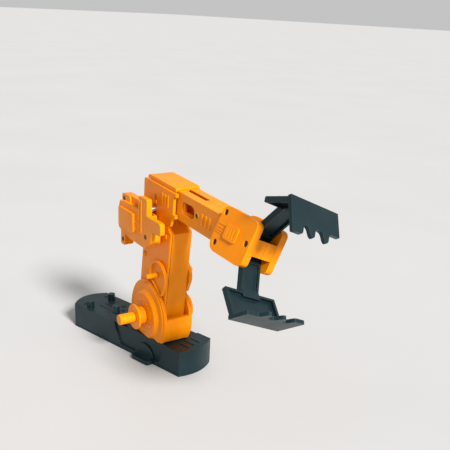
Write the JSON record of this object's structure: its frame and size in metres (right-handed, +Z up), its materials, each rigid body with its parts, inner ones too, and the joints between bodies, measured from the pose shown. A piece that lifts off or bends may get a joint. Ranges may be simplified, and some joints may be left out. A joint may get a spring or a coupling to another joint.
{
  "type": "motorised robot arm kit",
  "caption": "Toy robot arm on a battery base with push buttons, a swivelling shoulder, leaning column, geared elbow, rolling wrist and scalloped gripper jaws.",
  "frame": {"origin": "under the waist axis, on the flat underside of the base", "axes": "+X along the base towards the reach of the arm, +Z up, -Y the side with the gearbox and the axle knob"},
  "size_m": [0.354, 0.1366, 0.2339],
  "materials": {
    "orange_plastic": "satin moulded",
    "dark_plastic": "satin moulded",
    "steel": "zinc plated",
    "brass": "plain",
    "battery": "printed film",
    "circuit_board": "solder mask",
    "nylon": "natural"
  },
  "bodies": {
    "base": {"base_top_shell": "dark_plastic", "base_bottom_plate": "dark_plastic", "battery_door": "dark_plastic", "battery_cell_1": "battery", "battery_cell_2": "battery", "battery_cell_3": "battery", "battery_contact_rear": "brass", "battery_contact_front": "brass", "switch_board": "circuit_board", "base_screw_1": "steel", "base_screw_2": "steel", "side_foot_right": "dark_plastic", "side_foot_left": "dark_plastic"},
    "button_rear_right": {"button_rear_right": "dark_plastic"},
    "button_rear_left": {"button_rear_left": "dark_plastic"},
    "button_front_right": {"button_front_right": "dark_plastic"},
    "button_front_left": {"button_front_left": "dark_plastic"},
    "shoulder": {"shoulder_yoke": "orange_plastic", "swivel_plate": "dark_plastic", "waist_washer": "steel", "waist_screw": "steel", "shoulder_hub_right": "orange_plastic", "shoulder_hub_left": "orange_plastic"},
    "column": {"shoulder_axle": "orange_plastic", "shoulder_axle_clip": "steel", "column_frame": "orange_plastic", "column_cover": "orange_plastic", "column_screw_1": "orange_plastic", "column_screw_2": "orange_plastic", "column_lug_right": "orange_plastic", "column_lug_left": "orange_plastic", "column_lug_pin": "orange_plastic", "gearbox_housing": "orange_plastic", "gearbox_cover": "orange_plastic", "gearbox_screw_1": "steel", "gearbox_screw_2": "steel", "gearbox_screw_3": "steel", "elbow_motor": "steel"},
    "elbow_worm": {"elbow_worm": "brass"},
    "forearm": {"elbow_axle": "steel", "elbow_worm_wheel": "nylon", "elbow_plate_right": "orange_plastic", "elbow_plate_left": "orange_plastic", "head_cap": "orange_plastic", "forearm_right_shell": "orange_plastic", "forearm_left_shell": "orange_plastic", "forearm_screw": "steel", "gripper_motor": "steel", "wrist_collar": "orange_plastic"},
    "gripper_shaft": {"gripper_shaft": "steel"},
    "wrist": {"wrist_right_half": "orange_plastic", "wrist_left_half": "orange_plastic", "wrist_badge": "orange_plastic", "wrist_screw_1": "steel", "wrist_screw_2": "steel", "wrist_screw_3": "steel", "jaw_pin_upper": "steel", "jaw_pin_lower": "steel"},
    "upper_jaw": {"upper_jaw": "dark_plastic"},
    "lower_jaw": {"lower_jaw": "dark_plastic"}
  },
  "joints": [
    {"name": "waist_swivel", "type": "hinge", "parent": "base", "child": "shoulder", "pos_m": [0, 0, 0.028], "axis": [0, 0, 1], "range_deg": [-29.5, 60.4]},
    {"name": "shoulder_tilt", "type": "hinge", "parent": "shoulder", "child": "column", "pos_m": [0, 0, 0.0508], "axis": [0.2662, 0.9639, 0], "range_deg": [-25, 15]},
    {"name": "elbow_lift", "type": "hinge", "parent": "column", "child": "forearm", "pos_m": [0.01108, -0.00306, 0.171], "axis": [0.2662, 0.9639, 0], "range_deg": [-30, 18]},
    {"name": "elbow_worm_spin", "type": "hinge", "parent": "column", "child": "elbow_worm", "pos_m": [-0.00162, -0.02466, 0.1614], "axis": [0.9639, -0.2662, 0], "range_deg": [-420, 252]},
    {"name": "wrist_roll", "type": "hinge", "parent": "forearm", "child": "wrist", "pos_m": [0.12913, -0.03567, 0.17991], "axis": [0.9628, -0.2659, -0.049], "range_deg": [-66.3, 113.7]},
    {"name": "upper_jaw_swing", "type": "hinge", "parent": "wrist", "child": "upper_jaw", "pos_m": [0.15599, -0.04204, 0.18085], "axis": [0.2248, 0.8879, -0.4015], "range_deg": [-5, 26]},
    {"name": "lower_jaw_swing", "type": "hinge", "parent": "wrist", "child": "lower_jaw", "pos_m": [0.15433, -0.04617, 0.17079], "axis": [0.2248, 0.8879, -0.4015], "range_deg": [-26, 5]},
    {"name": "gripper_shaft_spin", "type": "hinge", "parent": "forearm", "child": "gripper_shaft", "pos_m": [0.12913, -0.03567, 0.17991], "axis": [0.9628, -0.2659, -0.049], "range_deg": [-45, 234]},
    {"name": "button_rear_right_press", "type": "slide", "parent": "base", "child": "button_rear_right", "axis": [0, 0, -1], "range_m": [0, 0.0014], "stiffness_N_per_m": 150, "springref_m": -0.003},
    {"name": "button_rear_left_press", "type": "slide", "parent": "base", "child": "button_rear_left", "axis": [0, 0, -1], "range_m": [0, 0.0014], "stiffness_N_per_m": 150, "springref_m": -0.003},
    {"name": "button_front_right_press", "type": "slide", "parent": "base", "child": "button_front_right", "axis": [0, 0, -1], "range_m": [0, 0.0014], "stiffness_N_per_m": 150, "springref_m": -0.003},
    {"name": "button_front_left_press", "type": "slide", "parent": "base", "child": "button_front_left", "axis": [0, 0, -1], "range_m": [0, 0.0014], "stiffness_N_per_m": 150, "springref_m": -0.003}
  ],
  "couplings": [
    {"joint": "elbow_worm_spin", "follows": "elbow_lift", "ratio": 14},
    {"joint": "lower_jaw_swing", "follows": "upper_jaw_swing", "ratio": -1},
    {"joint": "gripper_shaft_spin", "follows": "upper_jaw_swing", "ratio": 9}
  ]
}
